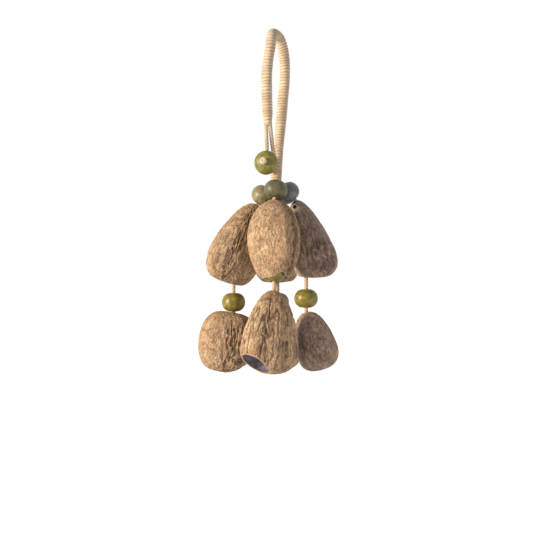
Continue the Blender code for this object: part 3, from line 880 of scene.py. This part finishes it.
def rim_rings(outer, inner, normal, seed):
    """Rings over the ragged sawn edge, from the last outer ring to the last inner one."""
    waves = np.linspace(0.0, 2.0 * math.pi * RAGGED_WAVES, COLUMNS, endpoint=False)
    height = (RIM_HEIGHT + RAGGED_HEIGHT * np.sin(waves + seed))[:, None] * MM
    return np.array([
        outer * (1.0 - share) + inner * share + normal * height * lift for share, lift in RIM_PROFILE
    ])


def make_shell(name, nut, crown, threading, body, outside):
    """A drilled and sawn nutshell in place of its solid."""
    stand = frame_towards(crown, shell_axis(nut), Vector((1.0, 0.0, 0.0)))
    to_local = np.array(stand.to_3x3()).T
    normal = to_local @ np.array(Vector(nut["mouth_facing"]).normalized())
    local_threading = to_local @ np.array(threading)
    middle = mouth_middle(nut, normal)
    outer = nut_rings(nut, normal, middle, local_threading, 0.0, ROWS, COLUMNS)
    inner = nut_rings(nut, normal, middle, local_threading, WALL, INNER_ROWS, COLUMNS)
    inner = inner + (outer[-1] - inner[-1]) * rise_at_end(INNER_ROWS, THINNING_ROWS) ** 2 * RIM_THINNING
    if nut["notch"]:
        outer, inner = broken_out(outer, nut), broken_out(inner, nut)
    depth, mark = furrow_depths(outer, nut)
    fade = np.clip(np.arange(ROWS) / CROWN_FADE_ROWS, 0.0, 1.0)[:, None]
    sink = outward_directions(outer) * ((SURFACE_LIFT - depth * fade) * MM)[..., None]
    # The last rows move only within the saw's plane, so the cut stays flat.
    sink -= rise_at_end(ROWS, MOUTH_FADE_ROWS) * (sink @ normal)[..., None] * normal
    outer = outer + sink
    rim = rim_rings(outer[-1], inner[-1], normal, nut["seed"])
    rings = np.concatenate((outer, rim, inner[::-1]))
    marks = {
        "furrow": np.concatenate((mark, np.zeros((len(rings) - ROWS, COLUMNS)))),
        "in_nut": rings / MM + np.array((nut["seed"], 0.0, 0.0)),
    }
    bands = np.zeros(len(rings), int)
    bands[ROWS - 2:INNER_FROM] = 1
    bands[INNER_FROM:] = 2
    bands[-1] = 1
    materials = [outside, CUT_SHELL, INNER_SKIN_WITH_PAINTED_COOL_LIGHT]
    rings = placed(rings, stand)
    piece = skin(name + "_furrowed", rings, materials, bands, marks, looped=True, crease=70.0)
    if nut["spare_hole"]:
        drill_hole(piece, nut["spare_hole"])
    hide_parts(name)
    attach(piece, body)


print("a shell has", 2 * (INNER_FROM + INNER_ROWS) * COLUMNS, "triangles")

# %% [markdown]
# ## The four drops
# Each drop is a top bead, a nut that hangs from it, a lower bead at or in the nut's mouth, and a
# second nut. The frame's hinges stand where the string bends, so every place is worked out from
# them: the upper nut's crown just under its hinge, the lower bead under the lower hinge. Sizes and
# places in the table are in millimetres, and angles in degrees.

# %% Sizes of the nuts
def nut(**sizes):
    """A nut's sizes. It hangs tilted from straight down towards its heading, and the saw cut lies
    mouth_depth below its crown. Its band of deep, dark veins has a heading, a spread, the share of
    the length at which it starts, and a strength; on the front upper nut the band also paints the
    shade of its right flank. A notch has a heading, a spread and a height."""
    return {"long_furrows": 0.0, "notch": None, "spare_hole": None, **sizes}


DROPS = {
    "front": dict(
        outward=-90.0, top_bead=(0.0, -10.4, -87.5), facing=(-0.12, -0.52, -0.85),
        upper=nut(
            length=50.0, half_width=15.0, half_depth=12.8, taper=-0.10, fullness=1.06,
            tilt=9.0, heading=-88.0, mouth_depth=45.0, mouth_facing=(0.05, -0.10, -1.0),
            # The band lies over the right flank, so its dark veins also paint the flank's shade.
            ridge=-64.0, seed=1.3, band=(-36.0, 24.0, -0.1, 1.0), notch=(-62.0, 22.0, 2.0),
        ),
        lower=nut(
            length=47.2, half_width=15.2, half_depth=13.0, taper=0.36, fullness=0.85,
            tilt=5.5, heading=-160.0, mouth_depth=46.9, mouth_facing=(-0.54, -0.34, -0.77),
            ridge=-110.0, seed=4.6, band=(-106.0, 14.0, -0.2, 0.7), long_furrows=1.0,
        ),
        shell_below_bead=5.0, bead_below=None, knots=(4.0, 4.45),
    ),
    "left": dict(
        outward=180.0, top_bead=(-7.2, 1.5, -90.2), facing=(-0.63, 0.13, -0.76),
        upper=nut(
            length=49.5, half_width=14.4, half_depth=12.0, taper=0.33, fullness=0.86,
            tilt=23.0, heading=176.0, mouth_depth=46.8, mouth_facing=(-0.30, 0.22, -0.93),
            ridge=-100.0, seed=8.2, band=(-98.0, 24.0, -0.1, 0.9), long_furrows=0.5,
        ),
        lower=nut(
            length=35.0, half_width=16.7, half_depth=13.5, taper=-0.03, fullness=0.56,
            tilt=11.0, heading=180.0, mouth_depth=32.0, mouth_facing=(0.30, 0.55, -0.78),
            ridge=-60.0, seed=12.9, band=(-68.0, 40.0, 0.05, 1.4),
        ),
        shell_below_bead=0.6, bead_below=5.2, knots=(4.3, 4.45),
    ),
    "right": dict(
        outward=0.0, top_bead=(7.2, 2.5, -88.4), facing=(0.70, 0.15, -0.70),
        upper=nut(
            length=48.0, half_width=11.8, half_depth=11.4, taper=0.43, fullness=0.90,
            tilt=18.8, heading=4.0, mouth_depth=45.2, mouth_facing=(0.03, 0.20, -1.0),
            ridge=-60.0, seed=17.4, band=(-58.0, 46.0, 0.35, 1.0), spare_hole=(11.0, -96.5),
        ),
        lower=nut(
            length=34.6, half_width=11.8, half_depth=11.2, taper=0.24, fullness=0.76,
            tilt=15.0, heading=0.0, mouth_depth=32.3, mouth_facing=(0.15, 0.55, -0.80),
            ridge=-120.0, seed=21.7, band=(-100.0, 60.0, 0.2, 0.6),
        ),
        shell_below_bead=2.6, bead_below=7.8, knots=(4.45, 4.6),
    ),
    "back": dict(
        outward=90.0, top_bead=(0.3, 14.2, -88.4), facing=(0.10, 0.50, -0.86),
        upper=nut(
            length=49.0, half_width=14.2, half_depth=12.4, taper=0.18, fullness=0.78,
            tilt=12.0, heading=88.0, mouth_depth=45.6, mouth_facing=(0.03, 0.20, -0.98),
            ridge=80.0, seed=26.1, band=(84.0, 26.0, 0.0, 0.8), long_furrows=0.4,
        ),
        lower=nut(
            length=34.6, half_width=13.4, half_depth=12.4, taper=0.22, fullness=0.78,
            tilt=8.0, heading=90.0, mouth_depth=32.4, mouth_facing=(0.30, 0.40, -0.86),
            ridge=120.0, seed=30.8, band=(116.0, 34.0, 0.1, 0.8),
        ),
        shell_below_bead=1.6, bead_below=6.0, knots=(4.15, 4.45),
    ),
}
print("nuts:", 2 * len(DROPS))

# %% Hang the drops
HALF_JOINT_GAP = 0.4 * MM
STRING_CUT = 0.3 * MM
BALL = 0.9 * STRING_RADIUS
STRAND_SPREAD = 1.65 * MM
STRINGS_FROM = Vector((0.3, 1.5, -81.1)) * MM
# The right nuts wear the grey copy of the shell, whose colours are painted shade.
SHELL_LOOKS = {"right": SHELL_IN_PAINTED_SHADE}

for side, drop in DROPS.items():
    upper, lower = side + "_upper", side + "_lower"
    hinge, low_hinge = HINGES[side + "_swing"], HINGES[side + "_lower_swing"]
    outside = SHELL_LOOKS.get(side, WARM_SHELL)

    facing = Vector(drop["facing"]).normalized()
    centre = Vector(drop["top_bead"]) * MM
    bead_top = centre - facing * BEAD_HALF_HEIGHT
    make_bead(side + "_top_bead", centre, facing, "handle")
    start = STRINGS_FROM + heading_vector(drop["outward"]) * STRAND_SPREAD
    leading = [
        start, start + DOWN * STRING_RADIUS, bead_top - facing * STRING_RADIUS, bead_top,
        hinge + facing * BALL,
    ]
    string_piece(side + "_top_twine", leading, "handle", [side + "_top_string"])

    crown = hinge + facing * HALF_JOINT_GAP
    down = shell_axis(drop["upper"])
    make_shell(side + "_upper_shell", drop["upper"], crown, down, upper, outside)
    knot = crown + down * drop["knots"][0] * MM
    if drop["bead_below"] is None:
        bead_axis, bead_body = down, upper
        bead_centre = low_hinge - down * (BEAD_HALF_HEIGHT + STRING_CUT)
        ending = [low_hinge + down * BALL]
    else:
        bead_axis, bead_body = DOWN, lower
        bead_centre = low_hinge + DOWN * (drop["bead_below"] * MM + BEAD_HALF_HEIGHT)
        ending = [low_hinge - DOWN * STRING_RADIUS, low_hinge + DOWN * BALL]
    inside = [hinge - down * BALL, knot] + ending
    string_piece(side + "_shell_twine", inside, upper, [side + "_shell_string"])
    knot_piece(side + "_shell_knot", knot, down, upper)

    make_bead(side + "_lower_bead", bead_centre, bead_axis, bead_body)
    low_crown = bead_centre + bead_axis * BEAD_HALF_HEIGHT + DOWN * drop["shell_below_bead"] * MM
    make_shell(side + "_lower_shell", drop["lower"], low_crown, DOWN, lower, outside)
    low_knot = low_crown + DOWN * drop["knots"][1] * MM
    last = [low_hinge - DOWN * BALL, low_knot + DOWN * KNOT_STANDS_OFF]
    string_piece(side + "_lower_twine", last, lower, [side + "_lower_string"])
    knot_piece(side + "_lower_knot", low_knot, DOWN, lower)
print("drops hung:", len(DROPS))

# %% [markdown]
# ## Floor and light
# The rattle hangs free, so the floor lies well below it. The world is a soft, slightly cool fill.
# One low warm sun from the left rakes over the shells, so that each furrow gets a lit side and a
# dark side. A wide, weak lamp low on the right keeps the far sides of the right nuts from going
# black. A surface that faces the sun renders at about the colour that is written. The camera sees
# the world and the floor as white, and the floor still takes the shadow.

# %% Floor and world
FILL_STRENGTH = 0.26
FLOOR_HEIGHT = -0.5
FLOOR_REACH = 30.0
FLOOR_GLOW = 0.12
FLOOR_SEEN_GLOW = 0.53


def is_seen(tree):
    """1 for rays that show the background: straight, mirrored or through glass."""
    rays = add_node(tree, "ShaderNodeLightPath").outputs
    seen = rays["Is Camera Ray"]
    for kind in ("Is Glossy Ray", "Is Transmission Ray"):
        seen = add_node(tree, "ShaderNodeMath", {0: seen, 1: rays[kind]}, operation="MAXIMUM").outputs[0]
    return seen


world = bpy.data.worlds.new("studio")
world.use_nodes = True
bpy.context.scene.world = world
tree = world.node_tree
fill = add_node(tree, "ShaderNodeBackground", {"Color": linear("#F0F4FF"), "Strength": FILL_STRENGTH})
white = add_node(tree, "ShaderNodeBackground", {"Color": linear("#FFFFFF"), "Strength": 1.0})
mixed = add_node(tree, "ShaderNodeMixShader", {0: is_seen(tree), 1: fill.outputs[0], 2: white.outputs[0]})
feed(tree, tree.nodes["World Output"], {"Surface": mixed.outputs[0]})

floor_paint, tree, shader = new_material("pale_studio_floor")
glow = add_node(tree, "ShaderNodeMath", {
    0: is_seen(tree), 1: FLOOR_SEEN_GLOW, 2: FLOOR_GLOW,
}, operation="MULTIPLY_ADD")
feed(tree, shader, {
    "Base Color": linear("#F2F2F2"),
    "Roughness": 0.9,
    "Emission Color": linear("#FFFFFF"),
    "Emission Strength": glow.outputs[0],
})
corners = [
    (x * FLOOR_REACH, y * FLOOR_REACH, FLOOR_HEIGHT) for x, y in ((-1, -1), (1, -1), (1, 1), (-1, 1))
]
floor_mesh = bpy.data.meshes.new("floor")
floor_mesh.from_pydata(corners, [], [(0, 1, 2, 3)])
floor_mesh.materials.append(floor_paint)
floor = bpy.data.objects.new("floor", floor_mesh)
bpy.context.collection.objects.link(floor)
print("floor at", FLOOR_HEIGHT, "m")

# %% Lamps
SUN_FROM = Vector((-0.90, -0.45, 0.17))
SUN_STRENGTH = 4.2
SUN_SPREAD = math.radians(12.0)
LOW_GLOW_FROM = Vector((0.62, -0.36, -0.28))
LOW_GLOW_POWER = 1.6
LOW_GLOW_SIZE = 0.4


def add_lamp(name, kind, side, strength, colour, **settings):
    """A lamp that shines from the given side."""
    light = bpy.data.lights.new(name, kind)
    light.energy = strength
    light.color = linear(colour)[:3]
    for setting, value in settings.items():
        setattr(light, setting, value)
    lamp = bpy.data.objects.new(name, light)
    lamp.rotation_euler = side.to_track_quat("Z", "Y").to_euler()
    bpy.context.collection.objects.link(lamp)
    return lamp


add_lamp("sun", "SUN", SUN_FROM, SUN_STRENGTH, "#FFF1DC", angle=SUN_SPREAD)
low_glow = add_lamp("low_glow", "AREA", LOW_GLOW_FROM, LOW_GLOW_POWER, "#FFECE0", size=LOW_GLOW_SIZE)
low_glow.location = VIEW_CENTRE + LOW_GLOW_FROM
print("lit from", tuple(SUN_FROM))
